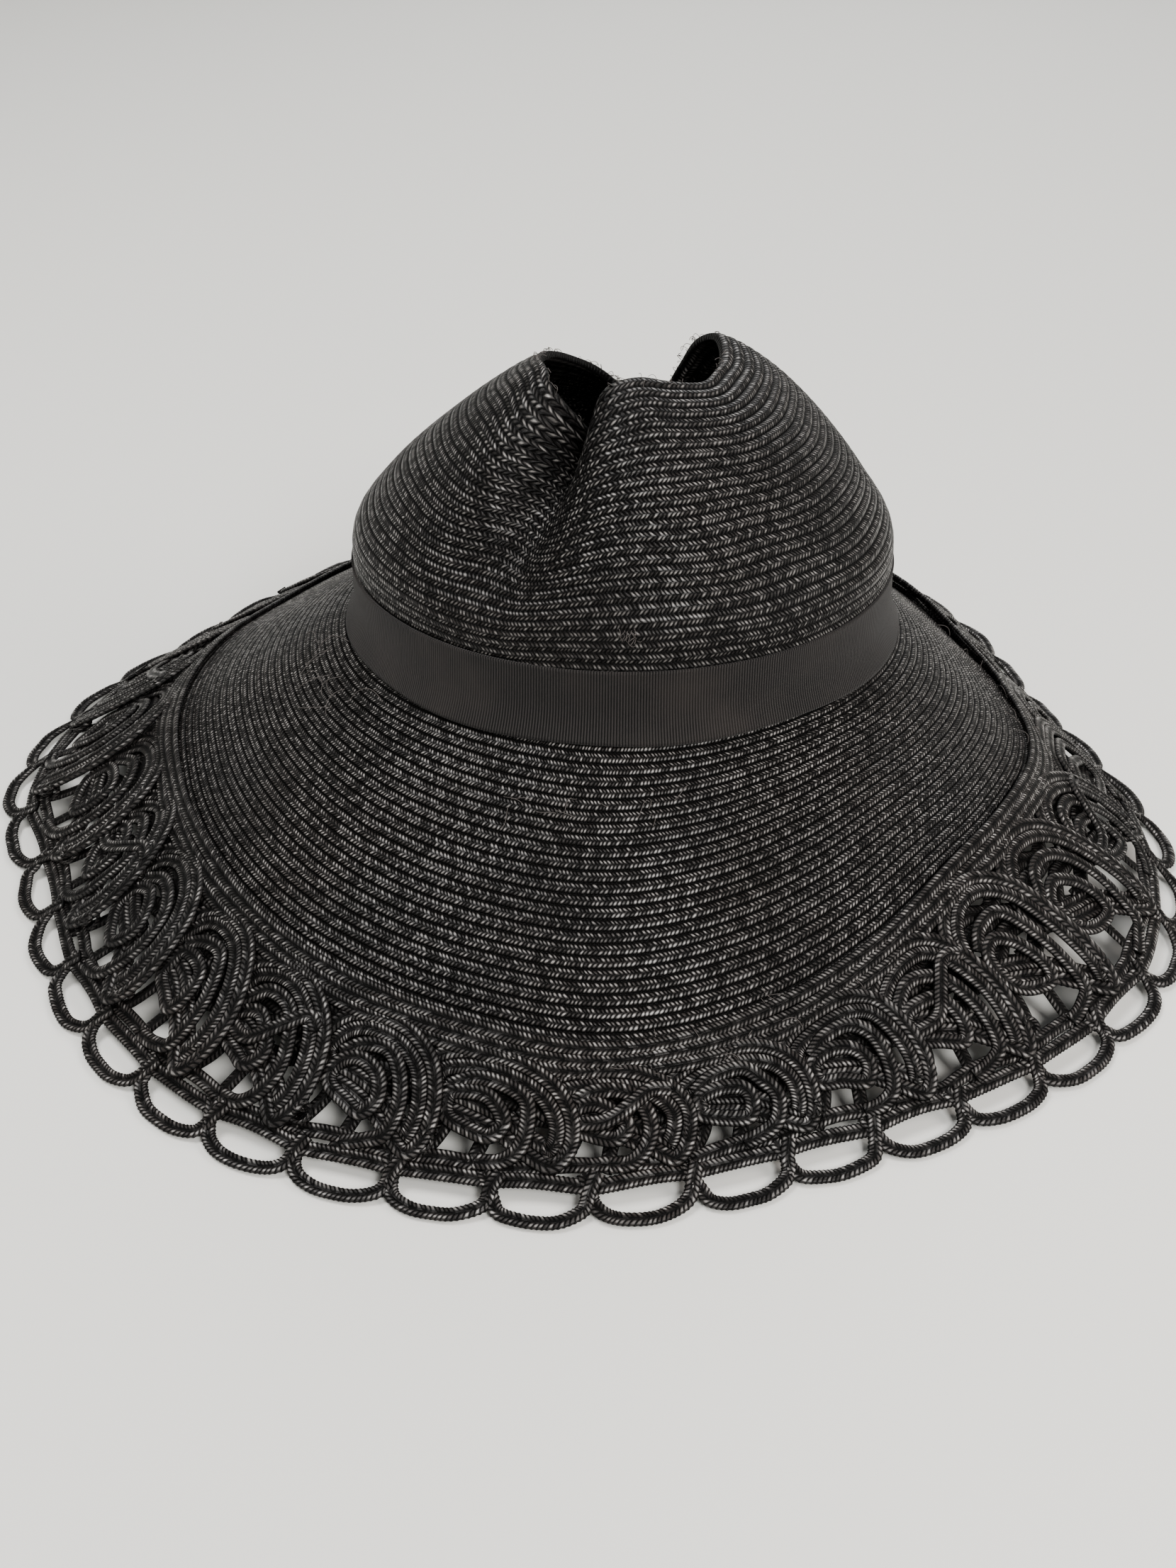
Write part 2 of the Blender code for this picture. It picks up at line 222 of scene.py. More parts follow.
def crown_point(azimuth, share):
    """Crown's outer face at a share of its section's length.

    The section's radius and height are pulled toward the cut edge's table by smooth steps
    of the height, a bell curve adds the bulge, and each dent takes away a bell curve of
    the angle times a sine of the height.
    """
    place = np.linspace(0.0, 1.0, len(CURVE))
    height = np.interp(share, place, CURVE[:, 0])
    radius = np.interp(share, place, CURVE[:, 1])
    pull = ease((height - PULL_FROM) / (1.0 - PULL_FROM))
    lift = ease((height - LIFT_FROM) / (1.0 - LIFT_FROM)) ** LIFT_POWER
    radius = radius + (around(RIM, 1, azimuth) - SECTION[-1, 1]) * pull
    rise = height + (around(RIM, 2, azimuth) - 1.0) * lift
    radius = radius + BULGE * np.exp(-((height - BULGE_HEIGHT) / BULGE_SPREAD) ** 2)
    for top, foot, half, depth, low in DENTS:
        run = np.clip((height - low) / (1.0 - low), 0.0, 1.0)
        press = bell(azimuth, foot + (top - foot) * run, half) * np.sin(np.pi * run ** 1.3)
        radius = radius - depth * press
    a = np.radians(azimuth)
    return np.stack([CROWN_AXIS[0] + CROWN_HALF_WIDTH * radius * np.cos(a),
                     CROWN_AXIS[1] + CROWN_HALF_DEPTH * radius * np.sin(a),
                     CROWN_FOOT + CROWN_RISE * rise], -1)


def crown_normal(azimuth, share):
    """Outward normal of the crown's smooth face, from small differences."""
    turn, step = 0.6, 0.004
    da = crown_point(azimuth + turn, share) - crown_point(azimuth - turn, share)
    ds = (crown_point(azimuth, np.minimum(share + step, 1.0))
          - crown_point(azimuth, np.maximum(share - step, 0.0)))
    return unit(np.cross(da, ds))


# ---------------------------------------------------------------- meshes

def make_mesh(name, points, quads, uv):
    """One mesh piece from corner points, quads and a texture place for each quad corner."""
    mesh = bpy.data.meshes.new(name)
    points = np.asarray(points, dtype=np.float32).reshape(-1, 3) + SHIFT.astype(np.float32)
    quads = np.asarray(quads, dtype=np.int32).reshape(-1, 4)
    mesh.vertices.add(len(points))
    mesh.vertices.foreach_set("co", points.ravel())
    mesh.loops.add(len(quads) * 4)
    mesh.loops.foreach_set("vertex_index", quads.ravel())
    mesh.polygons.add(len(quads))
    mesh.polygons.foreach_set("loop_start", np.arange(0, len(quads) * 4, 4, dtype=np.int32))
    mesh.polygons.foreach_set("use_smooth", np.ones(len(quads), dtype=bool))
    layer = mesh.uv_layers.new(name="rows")
    layer.data.foreach_set("uv", np.asarray(uv, dtype=np.float32).ravel())
    mesh.update()
    mesh.validate()
    piece = bpy.data.objects.new(name, mesh)
    bpy.context.scene.collection.objects.link(piece)
    return piece


def grid_quads(nu, nv, close_u, close_v, flip=False):
    """Quads of a grid of nu by nv points and, for each corner, its grid place."""
    iu = np.arange(nu if close_u else nu - 1)
    iv = np.arange(nv if close_v else nv - 1)
    i, j = [g.ravel() for g in np.meshgrid(iu, iv, indexing="ij")]
    ci = np.stack([i, i + 1, i + 1, i], -1)
    cj = np.stack([j, j, j + 1, j + 1], -1)
    if flip:
        ci, cj = ci[:, ::-1], cj[:, ::-1]
    return (ci % nu) * nv + cj % nv, ci, cj


def ring_sweep(name, points, places, counts):
    """Closed shell: points[u, v] with u around the hat and v around the section.

    places holds the row coordinate of each section point and, last, of the point that
    closes the section. counts holds the stitches in each row's whole turn. A corner's
    texture place is (stitches run so far, row coordinate).
    """
    nu, nv = points.shape[:2]
    quads, ci, cj = grid_quads(nu, nv, True, True, flip=True)
    rows = places[cj]
    row = np.floor(np.minimum(rows[:, :2].mean(1), rows.mean(1)) + 1e-6).astype(int)
    along = counts[np.clip(row, 0, len(counts) - 1)][:, None] * (ci / nu)
    return make_mesh(name, points, quads, np.stack([along, rows], -1))


# Section of a flat braid: across from -1 to 1, height as a share of its thickness.
BRAID = np.array([(-1.00, 0.40), (-0.86, 0.84), (-0.52, 1.00), (-0.16, 0.84), (0.00, 0.74),
                  (0.16, 0.84), (0.52, 1.00), (0.86, 0.84), (1.00, 0.40), (0.60, 0.00),
                  (-0.60, 0.00)])

# The same with fewer points, for the lower layers.
THIN = np.array([(-1.00, 0.40), (-0.55, 0.97), (0.00, 0.76), (0.55, 0.97), (1.00, 0.40),
                 (0.60, 0.00), (-0.60, 0.00)])


def braid_paths(path, width, thick, teeth=0.0, tilt=0.0, shift=0.0, closed=False, section=BRAID):
    """Flat braids laid on the brim's slope.

    path[p, sample] holds azimuth, distance in from the tips and height above the slope.
    The section is carried along each path: its across axis is the slope's normal crossed
    with the path's direction, turned by tilt and moved sideways by shift. With teeth, every
    second section is narrower, so the edge shows one tooth for each pair.
    Returns points[p, sample, section point] and the number of stitches run at each sample.
    """
    azimuth, inward, up = path[..., 0], path[..., 1], path[..., 2]
    radius = tip_radius(azimuth) - inward
    centre = brim_point(azimuth, radius, up)
    normal = unit(centre - brim_point(azimuth, radius, up - 1e-3))
    if closed:
        ahead = unit(np.roll(centre, -1, 1) - np.roll(centre, 1, 1))
        step = np.linalg.norm(np.roll(centre, -1, 1) - centre, axis=-1)
    else:
        ahead = unit(np.gradient(centre, axis=1))
        step = np.linalg.norm(np.diff(centre, axis=1), axis=-1)
    side = unit(np.cross(ahead, normal))
    normal = unit(np.cross(side, ahead))
    centre = centre + side * shift
    side, normal = (side * math.cos(tilt) + normal * math.sin(tilt),
                    normal * math.cos(tilt) - side * math.sin(tilt))
    run = np.concatenate([np.zeros((len(step), 1)), np.cumsum(step, 1)], 1) / BRAID_STITCH
    wide = np.full(azimuth.shape, 0.5 * width)
    if teeth:
        wide[:, 1::2] *= 1.0 - teeth
        run = np.broadcast_to(np.arange(run.shape[1]) * 0.5, run.shape)
    across = section[:, 0][None, None, :, None] * wide[..., None, None]
    rise = section[:, 1][None, None, :, None] * thick
    return centre[:, :, None] + side[:, :, None] * across + normal[:, :, None] * rise, run


def resample(keys, count, closed=False):
    """Smooth curve through keys[path, key, coordinate], evenly spaced along its length.

    The spacing is measured in plan, on the average of all paths.
    """
    n = keys.shape[1]
    if closed:
        pad = np.concatenate([keys[:, -1:], keys, keys[:, :2]], 1)
    else:
        pad = np.concatenate([2 * keys[:, :1] - keys[:, 1:2], keys,
                              2 * keys[:, -1:] - keys[:, -2:-1]], 1)
    spans = n if closed else n - 1
    fineness = 24
    t = np.linspace(0.0, spans, fineness * n)
    i = np.clip(t.astype(int), 0, spans - 1)
    fine = spline(pad[:, i], pad[:, i + 1], pad[:, i + 2], pad[:, i + 3], (t - i)[None, :, None])
    scale = np.array([LACE_RADIUS * np.pi / 180.0, 1.0, 0.0])
    step = np.linalg.norm(np.diff(fine, axis=1) * scale, axis=-1).mean(0)
    run = np.concatenate([[0.0], np.cumsum(step)])
    goal = np.linspace(0.0, run[-1], count, endpoint=not closed)
    at = np.interp(goal, run, np.arange(len(run)))
    k = np.clip(at.astype(int), 0, len(run) - 2)
    g = (at - k)[None, :, None]
    return fine[:, k] * (1 - g) + fine[:, k + 1] * g


# ---------------------------------------------------------------- materials

class Sock:
    """A shader socket that can be used in arithmetic."""

    def __init__(self, look, socket):
        self.look = look
        self.socket = socket

    def _math(self, operation, other=None, swap=False):
        values = [self, other] if other is not None else [self]
        if swap:
            values.reverse()
        return self.look.node("ShaderNodeMath", {"operation": operation}, dict(enumerate(values)))

    def __add__(self, other):
        return self._math("ADD", other)

    __radd__ = __add__

    def __sub__(self, other):
        return self._math("SUBTRACT", other)

    def __rsub__(self, other):
        return self._math("SUBTRACT", other, swap=True)

    def __mul__(self, other):
        return self._math("MULTIPLY", other)

    __rmul__ = __mul__

    def fraction(self):
        return self._math("FRACT")

    def floor(self):
        return self._math("FLOOR")

    def sine(self):
        return self._math("SINE")

    def size(self):
        return self._math("ABSOLUTE")

    def least(self, other):
        return self._math("MINIMUM", other)

    def most(self, other):
        return self._math("MAXIMUM", other)


class Look:
    """One material: builds nodes and sets the Principled shader."""

    def __init__(self, name):
        self.material = bpy.data.materials.new(name)
        self.material.use_nodes = True
        self.tree = self.material.node_tree
        self.shader = self.tree.nodes["Principled BSDF"]

    def feed(self, target, value):
        """Link or set one input socket."""
        if isinstance(value, Sock):
            self.tree.links.new(value.socket, target)
        else:
            target.default_value = value

    def node(self, kind, settings=None, values=None, output=0):
        """New node from its type, its settings and the values or links of its sockets."""
        made = self.tree.nodes.new(kind)
        for key, value in (settings or {}).items():
            setattr(made, key, value)
        for key, value in (values or {}).items():
            self.feed(made.inputs[key], value)
        return Sock(self, made.outputs[output])

    def rows(self):
        """Along and across places of the piece's own texture map."""
        place = self.node("ShaderNodeUVMap", {"uv_map": "rows"})
        split = self.node("ShaderNodeSeparateXYZ", values={0: place})
        return split, Sock(self, split.socket.node.outputs[1])

    def spot(self):
        """Place in the hat's own coordinates."""
        return self.node("ShaderNodeTexCoord", output=3)

    def noise(self, place, scale, detail=2.0):
        """Cloudy value around 0.5, with scale clouds to the metre."""
        return self.node("ShaderNodeTexNoise", values={
            "Vector": place, "Scale": scale, "Detail": detail, "Roughness": 0.6})

    def chance(self, number):
        """Random value between 0 and 1 for each whole number."""
        return self.node("ShaderNodeTexWhiteNoise", {"noise_dimensions": "1D"}, {"W": number})

    def blend(self, share, low, high):
        """Colour that goes from low to high with the share."""
        values = {0: share, 6: low, 7: high}
        for key in (6, 7):
            if not isinstance(values[key], Sock):
                values[key] = (*values[key], 1.0)
        return self.node("ShaderNodeMix", {"data_type": "RGBA"}, values, output=2)

    def ramp(self, share, low, high):
        """Share mapped from low..high to 0..1 and held there."""
        return self.node("ShaderNodeMapRange", {"clamp": True},
                         {0: share, 1: low, 2: high, 3: 0.0, 4: 1.0})

    def bump(self, height, strength, distance):
        """Normal tilted by a height of at most distance metres."""
        return self.node("ShaderNodeBump", values={
            "Height": height, "Strength": strength, "Distance": distance})

    def set(self, name, value):
        """Link or set one socket of the Principled shader."""
        self.feed(self.shader.inputs[name], value)


# Flecks to the metre, height of the stitches' bump and dull shine of all the straw.
FLECKS = 1300.0
RELIEF = 0.0006
STRAW_SPECULAR = 0.10


def straw_look(name, slant, joint, dark_and_shade, light, brown):
    """Sewn straw rows: two slanted plaits to a row, deep joins, painted glints on some stitches.

    slant is how many stitches a plait leans over its width, and joint the share of a row
    over which the painted shade of its join fades out. The dark colour is painted shade in
    the joins and the plaits' hollows, and the tone of randomly darker stitches.
    """
    look = Look(name)
    along, across = look.rows()
    place = look.spot()
    fleck = look.noise(place, FLECKS)
    cloud = look.noise(place, 17.0, 3.0)
    # Patches where the painted glints are stronger, as painted sheen.
    painted_sheen_patches = look.ramp(look.noise(place, 24.0), 0.40, 0.62)

    # Row, half of the row, and place across each.
    row = across.floor()
    f = across.fraction()
    half = (f * 2.0).floor()
    g = (f * 2.0).fraction()

    # Stitches: a triangle wave along the row, leaning one way in each half.
    along = along + look.chance(row + 0.5) + look.noise(place, 110.0) * 2.2
    step = along + (half * 2.0 - 1.0) * (g - 0.5) * slant + half * 0.5
    chance = look.chance(step.floor() + half * 17.31 + row * 131.7)
    ridge = 1.0 - (step.fraction() * 2.0 - 1.0).size()
    swell = (g * math.pi).sine()
    plait = (ridge * 1.5).least(1.0) * (0.35 + swell * 0.65)
    look.set("Normal", look.bump(plait + fleck * 0.35, 1.0, RELIEF))

    # Painted shade in joins and plait hollows, randomly darker stitches, straw that turns
    # brown in clouds, and a glint painted into the colour of chosen stitches.
    join = look.ramp(f.least(1.0 - f), 0.06, joint)
    shade = look.ramp(plait * 0.9 + fleck * 0.3 + chance * 0.5, 0.62, 1.45) * join
    tone = look.blend(look.ramp(cloud, 0.42, 0.68), light, brown)
    tone = look.blend(shade, dark_and_shade, tone)
    painted_glint = look.ramp(chance, 0.28, 0.95) * look.ramp(plait, 0.66, 0.97) * join
    painted_glint = painted_glint * (0.50 + painted_sheen_patches * 0.65)
    # Colour of the glints painted on chosen stitches: a painted highlight.
    painted_glint_colour = (0.250, 0.236, 0.226)
    look.set("Base Color", look.blend(painted_glint * 0.9, tone, painted_glint_colour))
    look.set("Roughness", 0.52 - look.ramp(plait + fleck * 0.4, 0.7, 1.2) * 0.22)
    look.set("Specular IOR Level", STRAW_SPECULAR)
    look.set("Coat Weight", shade * (0.25 + chance * 0.45))
    look.set("Coat Roughness", 0.34)
    return look.material


def braid_look(name, dark_and_shade, light, brown, shine=1.0):
    """Flat braid: slanted stitches either side of two fine middle cords.

    shine scales the painted glints and the coat; below 1 it gives a copy painted darker,
    for braid that lies in shade. The dark colour is painted shade in the hollows, and the
    tone of randomly darker stitches.
    """
    look = Look(name)
    along, across = look.rows()
    place = look.spot()
    fleck = look.noise(place, FLECKS)
    cloud = look.noise(place, 20.0, 3.0)
    # Patches where the painted glints are stronger, as painted sheen.
    painted_sheen_patches = look.ramp(look.noise(place, 30.0), 0.40, 0.62)

    # Distance from the braid's middle, and the wings outside its two cords.
    mid = (across - 0.5).size() * 2.0
    wing = look.ramp(mid, 0.16, 0.26)
    cords = (mid * (2.0 * math.pi / 0.24)).sine().size() * (1.0 - wing)

    # Stitches: a triangle wave along the braid that leans outward on both wings.
    step = along + mid * 1.1
    chance = look.chance(step.floor() + (across * 2.0).floor() * 23.7)
    ridge = 1.0 - (step.fraction() * 2.0 - 1.0).size()
    swell = (((mid - 0.2) * 1.25).most(0.0).least(1.0) * math.pi).sine()
    stitch = (ridge * 1.5).least(1.0) * (0.3 + swell * 0.7) * wing
    relief = stitch + cords * 0.35
    look.set("Normal", look.bump(relief + fleck * 0.3, 1.0, RELIEF))

    # Painted shade in the hollows, randomly darker stitches, straw that turns brown in
    # clouds, and a glint painted into the colour of chosen stitches.
    shade = look.ramp(relief * 0.9 + fleck * 0.35 + chance * 0.4, 0.55, 1.40)
    tone = look.blend(look.ramp(cloud, 0.42, 0.66), light, brown)
    tone = look.blend(shade, dark_and_shade, tone)
    painted_glint = look.ramp(chance, 0.36, 0.98) * look.ramp(stitch, 0.64, 0.97)
    painted_glint = painted_glint * (0.50 + painted_sheen_patches * 0.65) * shine
    # Colour of the glints painted on chosen stitches: a painted highlight.
    painted_glint_colour = (0.250, 0.238, 0.228)
    look.set("Base Color", look.blend(painted_glint * 0.85, tone, painted_glint_colour))
    look.set("Roughness", 0.54 - look.ramp(relief + fleck * 0.4, 0.7, 1.2) * 0.20)
    look.set("Specular IOR Level", STRAW_SPECULAR)
    look.set("Coat Weight", shade * (0.25 + chance * 0.45) * shine)
    look.set("Coat Roughness", 0.36)
    return look.material


def ribbon_look():
    """Ribbed ribbon: fine upright ribs, matte cloth with a slight brown cast."""
    look = Look("ribbed_ribbon")
    along, _ = look.rows()
    place = look.spot()
    cloud = look.noise(place, 30.0, 3.0)
    fuzz = look.noise(place, 2600.0)
    relief = (along * math.pi).sine().size() * 0.8 + fuzz * 0.3
    look.set("Normal", look.bump(relief, 0.7, 0.00030))
    # The ribs' grooves take a near-black painted shade; their crests take the cloth's colour.
    groove_shade, cloth = (0.0004, 0.0003, 0.0004), (0.026, 0.0236, 0.0230)
    worn = (0.027, 0.0222, 0.0203)
    tone = look.blend(look.ramp(relief, 0.55, 1.0), groove_shade, cloth)
    look.set("Base Color", look.blend(look.ramp(cloud, 0.45, 0.8) * 0.5, tone, worn))
    look.set("Roughness", 0.82)
    look.set("Specular IOR Level", 0.15)
    look.set("Sheen Weight", 0.05)
    look.set("Sheen Roughness", 0.5)
    return look.material


# ---------------------------------------------------------------- straw

# One sewn row: share of its width, rise as a share of the row relief.
ROW = np.array([(0.02, 0.00), (0.10, 0.62), (0.30, 0.96), (0.55, 1.00), (0.80, 0.82),
                (0.97, 0.30)])

# Rows that the plain inner faces count as, so their texture isn't stretched.
INNER_ROWS = 12.0


def row_places(rows):
    """Places across a number of sewn rows and the relief at each."""
    place = (np.arange(rows)[:, None] + ROW[None, :, 0]).ravel()
    rise = np.tile(ROW[:, 1], rows)
    return place, rise


def shell_places(place, rows, back):
    """Row coordinates of a shell: outer rows, inner face from edge to foot, closing point."""
    inner = rows + (1.0 - back[0]) * INNER_ROWS
    return np.concatenate([place, inner, [inner[-1] + 1.0]])


def whole_turn(count):
    """Azimuths right round the hat, as a column."""
    return np.linspace(-180.0, 180.0, count, endpoint=False)[:, None]


def finish(piece, material, node):
    """Material, slot and body of a piece that stands for a CAD node."""
    piece.data.materials.append(material)
    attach(piece, "root")
    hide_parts(node)
    return piece


def make_crown(material):
    """Crown shell: sewn rows on the outer face, a plain inner face one wall in.

    The rows sag toward the front crease: their place along the section is lowered by a
    bell curve of the angle from the crease, wide on its left and narrow on its right.
    """
    rows, relief, sunk, sag = 31, 0.00080, 0.0002, 0.085
    place, rise = row_places(rows)
    azimuth = whole_turn(400)
    wobble = (0.12 * np.sin(np.radians(azimuth * 3 + place * 7))
              + 0.06 * np.sin(np.radians(azimuth * 11 + place * 23)))
    share = np.clip((place[None] + wobble) / rows, 0.0, 1.0)
    crease = 8.0 * share - 121.0
    left = np.mod(azimuth - crease + 180.0, 360.0) < 180.0
    dip = bell(azimuth, crease, np.where(left, 40.0, 17.0))
    share = share - sag * dip * np.sin(np.pi * share ** 1.5)
    share[:, 0] = 0.0
    share[:, -1] = 1.0
    flatter = 1.0 - 0.5 * np.exp(-((place - 8.0) / 2.6) ** 2)
    up = rise * flatter * relief - sunk
    outer = crown_point(azimuth, share) + crown_normal(azimuth, share) * up[None, :, None]
    back = np.linspace(1.0, 0.0, 26)[None]
    inner = crown_point(azimuth, back) - crown_normal(azimuth, back) * CROWN_WALL
    middles = (np.arange(rows + 20) + 0.5) / rows
    radii = np.interp(middles, np.linspace(0, 1, len(CURVE)), CURVE[:, 1], right=0.7)
    counts = np.round(CROWN_HALF_WIDTH * 2 * np.pi * radii / STRAW_STITCH)
    crown = ring_sweep("crown_rows", np.concatenate([outer, inner], 1),
                       shell_places(place, rows, back), counts)
    return finish(crown, material, "crown")


def make_brim(material):
    """Brim shell: sewn rows on the upper face from the crown's foot to the border."""
    rows, relief, sunk, bed = 27, 0.00062, 0.0002, 0.82
    place, rise = row_places(rows)
    azimuth = whole_turn(480)
    start = crown_foot(azimuth)
    end = straw_radius(azimuth) + 0.5 * BAND_WIDTH
    wobble = 0.10 * np.sin(np.radians(azimuth * 4 + place * 11))
    share = np.clip((place[None] + wobble) / rows, 0.0, 1.0)
    radius = start + (end - start) * share
    ripple = 0.0004 * np.sin(np.radians(azimuth * 5 + 40)) * share
    up = STRAW_WALL * bed - sunk + rise[None] * relief + ripple
    outer = brim_point(azimuth, radius, up)
    back = np.linspace(1.0, 0.0, 12)[None]
    radius = start + (end - start) * back
    inner = brim_point(azimuth, radius, 0.0001 + 0 * radius)
    middles = (np.arange(rows + 20) + 0.5) / rows
    radii = np.interp(middles, [0, 1], [0.088, 0.148])
    counts = np.round(2 * np.pi * radii / STRAW_STITCH)
    brim = ring_sweep("brim_rows", np.concatenate([outer, inner], 1),
                      shell_places(place, rows, back), counts)
    return finish(brim, material, "brim")


def make_ribbon(material):
    """Ribbon shell: offset of the crown's foot that flares toward the brim, with slight waves.

    The lower edge is moved to its seat on the brim, and the rest follows in proportion.
    """
    ribs, thick, seat_gap = 640.0, 0.0007, 0.0007
    azimuth = whole_turn(360)
    up = np.array([0.0, 0.04, 0.12, 0.25, 0.4, 0.55, 0.7, 0.85, 0.95, 1.0])[None]
    wall = crown_point(azimuth, up * RIBBON_HEIGHT / CURVE_LENGTH)
    a = np.radians(azimuth)
    out = np.stack([np.cos(a), np.sin(a), 0 * a], -1)
    flare = 0.0034 * (1.0 - up) ** 1.4 + 0.0002
    wave = 0.0006 * np.sin(3 * a + 1.0) * (1 - up) + 0.0003 * np.sin(8 * a) * (1 - up)
    lip = 0.00022 * (np.exp(-(up / 0.05) ** 2) + np.exp(-((1 - up) / 0.05) ** 2))
    base = wall + out * (flare + wave)[..., None]
    angle = np.degrees(np.arctan2(base[:, :1, 1], base[:, :1, 0]))
    reach = np.hypot(base[:, :1, 0], base[:, :1, 1])
    seat = brim_height(angle, reach) + STRAW_WALL + seat_gap
    base[..., 2] = base[..., 2] + (seat - base[:, :1, 2]) * (1.0 - up)
    face = base + out * (thick + lip)[..., None]
    places = np.concatenate([up[0], 1.0 + up[0], [2.0]])
    ribbon = ring_sweep("ribbon_cloth", np.concatenate([face, base[:, ::-1]], 1), places,
                        np.array([ribs]))
    finish(ribbon, material, "ribbon")
    return ribbon


# ---------------------------------------------------------------- braid border

# Stitches by which the pattern moves on from braid to braid, and between sets of braids.
PATTERN_STEP = 57.0
PATTERN_SPAN = 101


def strand_piece(name, parts, material, node):
    """One mesh of several sets of braids, each given as (points, stitches run, closed).

    Each set has m braids of n sections with k points. The ends of open braids are capped
    by strips across the section.
    """
    all_points, all_quads, all_uv = [], [], []
    start = 0
    for points, run, closed in parts:
        m, n, k = points.shape[:3]
        section = BRAID if k == len(BRAID) else THIN
        quads, ci, cj = grid_quads(n, k, closed, True)
        base = start + (np.arange(m) * n * k)[:, None, None]
        along = run[:, ci] + np.arange(m)[:, None, None] * PATTERN_STEP + start % PATTERN_SPAN
        side = np.broadcast_to((section[cj % k, 0] + 1.0) * 0.5, along.shape)
        all_points.append(points.reshape(-1, 3))
        all_quads.append((quads[None] + base).reshape(-1, 4))
        all_uv.append(np.stack([along, side], -1).reshape(-1, 2))
        if not closed:
            top = (k - 2) // 2
            left = np.arange(top - 1)
            arch = np.stack([left, left + 1, 2 * top - 1 - left, 2 * top - left], -1)
            foot = np.array([[0, 2 * top, k - 2, k - 1]])
            for end, order in ((0, 1), (n - 1, -1)):
                flat = np.concatenate([arch, foot])[:, ::order] + end * k
                all_quads.append((flat[None] + base).reshape(-1, 4))
                all_uv.append(np.zeros((m * len(flat) * 4, 2)))
        start += m * n * k
    piece = make_mesh(name, np.concatenate(all_points), np.concatenate(all_quads),
                      np.concatenate(all_uv))
    return finish(piece, material, node)


def scatter(seed, shape, size):
    """Seeded small offsets."""
    return np.random.RandomState(seed).uniform(-size, size, shape)


def lace_width(azimuth):
    """Width of the looped lace, from the loops' outer ends to just under the band."""
    return tip_radius(azimuth) - straw_radius(azimuth) - 0.85 * BAND_WIDTH - LOOP_END


def motif(keys, seed, wander):
    """Key points (along, inward, up in mm) repeated round the border with small differences.

    Along is a share of the motif's pitch. Inward is a share of the way from the ring to
    the band. Each motif is also shifted and stretched a little as a whole.
    """
    keys = np.asarray(keys, dtype=float)
    index = np.arange(PETALS)[:, None]
    whole = scatter(7, (PETALS, 1), 0.035)
    stretch = 1.0 + scatter(8, (PETALS, 1), 0.05)
    along = keys[None, :, 0] * stretch + index + MOTIF_PLACE + whole
    along = along + scatter(seed, (PETALS, len(keys)), wander)
    azimuth = along * 360.0 / PETALS
    share = keys[None, :, 1] + scatter(seed + 1, azimuth.shape, wander)
    up = keys[None, :, 2] * 1e-3 + scatter(seed + 2, azimuth.shape, 0.0001)
    return np.stack([azimuth, LOOP_END + share * lace_width(azimuth), up], -1)


def loops(keys, seed, samples, width, thick, closed=True, wander=0.014, keep=slice(None),
          **more):
    """Braids laid through key points repeated round the border, or at the kept motifs only."""
    path = resample(motif(keys, seed, wander)[keep], samples, closed)
    points, run = braid_paths(path, width, thick, closed=closed, **more)
    return points, run, closed


def round_path(inward, up, samples):
    """Closed path right round the border at given distance in and height."""
    azimuth = np.linspace(-180.0, 180.0, samples, endpoint=False)[None]
    return np.stack([azimuth, inward(azimuth), up + 0 * azimuth], -1)


# One scallop. Columns: share of the scallops' pitch, mm in from the tips, height in mm.
SCALLOP = np.array([
    (-0.57, 15.5, 1.5), (-0.505, 11.6, 1.4), (-0.462, 8.0, 0.9), (-0.38, 5.0, 0.6),
    (-0.20, 2.9, 0.4), (0.0, 2.4, 0.3), (0.20, 2.9, 0.4), (0.38, 5.0, 0.6),
    (0.462, 8.0, 1.0), (0.505, 11.6, 1.8), (0.57, 15.5, 2.4)])


def make_scallops(material):
    """Outer row of half loops between the ring's joints, each with small differences."""
    index = np.arange(SCALLOPS)[:, None]
    along = SCALLOP[None, :, 0] + index + scatter(11, (SCALLOPS, len(SCALLOP)), 0.016)
    azimuth = along * 360.0 / SCALLOPS + scatter(12, (SCALLOPS, 1), 0.25)
    inward = SCALLOP[None, :, 1] * 1e-3 + scatter(13, azimuth.shape, 0.00035)
    up = SCALLOP[None, :, 2] * 1e-3 + 0 * azimuth
    path = resample(np.stack([azimuth, inward, up], -1), 73)
    points, run = braid_paths(path, width=0.0047, thick=0.0015, teeth=0.13)
    return strand_piece("scallop_loops", [(points, run, False)], material, "lace_border")


def make_ring(material):
    """Ring of two flat braids side by side, straight from joint to joint.

    Between two joints each lies in by a parabola of 0.8 mm, and sways a little besides.
    """
    def line(middle, sway):
        def inward(azimuth):
            share = np.mod(azimuth / 360.0 * SCALLOPS + 0.5, 1.0) * 2.0 - 1.0
            wave = sway * (np.sin(np.radians(azimuth * 17)) + np.sin(np.radians(azimuth * 29)))
            return middle + 0.0008 * (1.0 - share ** 2) + wave
        return inward
    outer = braid_paths(round_path(line(0.0128, 0.0003), up=0.0012, samples=1728),
                        width=0.0048, thick=0.0015, teeth=0.12, closed=True)
    inner = braid_paths(round_path(line(0.0166, -0.0005), up=0.0009, samples=1150),
                        width=0.0046, thick=0.0014, closed=True)
    return strand_piece("ring_braids", [(*outer, True), (*inner, True)], material,
                        "lace_border")


# Braids of the band. Columns: distance out from the straw's edge, height.
BAND_ROWS = ((0.0019, 0.0029), (0.0050, 0.0024), (0.0079, 0.0020))

# The band's inner edge stands off here: azimuth, half spread in degrees, height.
STAND_OFF = (32.0, 24.0, 0.0030)


